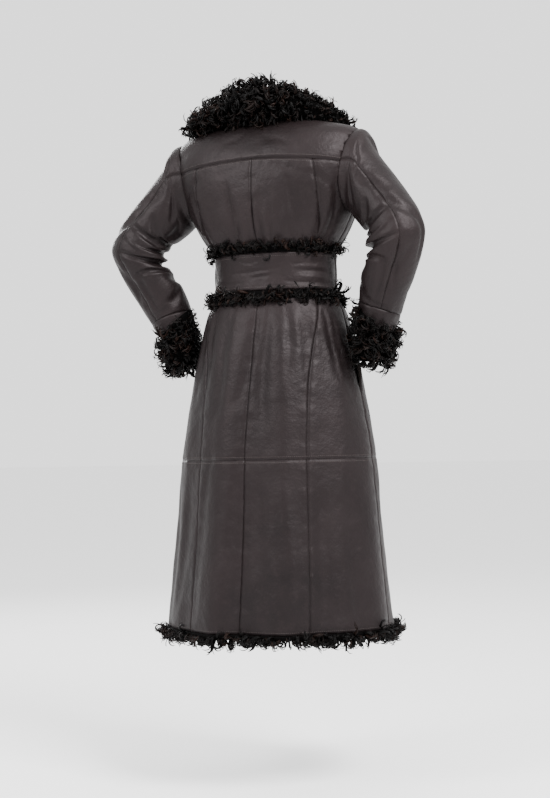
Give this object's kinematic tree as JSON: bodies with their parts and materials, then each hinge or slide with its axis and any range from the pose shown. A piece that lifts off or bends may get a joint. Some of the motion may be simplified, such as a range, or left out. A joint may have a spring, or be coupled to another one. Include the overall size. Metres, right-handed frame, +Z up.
{
  "type": "shearling coat",
  "caption": "Long belted shearling coat worn with hands at the pockets: yoked leather panels, wide curly fur collar, fur cuffs, and fur edging at belt, front and hem.",
  "frame": {"origin": "middle of the neckline, where the shoulders carry the coat", "axes": "+Z up along the wearer's back, -Y towards the coat's front, +X towards the wearer's left"},
  "size_m": [0.8028, 0.4985, 1.3243],
  "materials": {
    "leather": "satin dark brown nappa",
    "curly_fur": "near-black curled wool"
  },
  "bodies": {
    "root": {"bodice_back_centre_left": "leather", "bodice_back_centre_right": "leather", "bodice_back_side_left": "leather", "bodice_back_side_right": "leather", "bodice_front_left": "leather", "bodice_front_right": "leather", "skirt_back_centre_left": "leather", "skirt_back_centre_right": "leather", "skirt_back_side_left": "leather", "skirt_back_side_right": "leather", "skirt_front_left": "leather", "skirt_front_right": "leather", "hem_back_centre_left": "leather", "hem_back_centre_right": "leather", "hem_back_side_left": "leather", "hem_back_side_right": "leather", "hem_front_left": "leather", "hem_front_right": "leather", "back_yoke": "leather", "sleeve_top_left": "leather", "sleeve_top_right": "leather", "sleeve_under_left": "leather", "sleeve_under_right": "leather", "cuff_band_left": "leather", "cuff_band_right": "leather", "belt": "leather", "belt_end": "leather", "belt_loop_left": "leather", "belt_loop_right": "leather", "pocket_left": "leather", "pocket_right": "leather", "cuff_fur_left": "curly_fur", "cuff_fur_right": "curly_fur", "collar": "curly_fur", "belt_fur_top": "curly_fur", "belt_fur_bottom": "curly_fur", "hem_fur": "curly_fur", "front_fur": "curly_fur"}
  },
  "joints": []
}
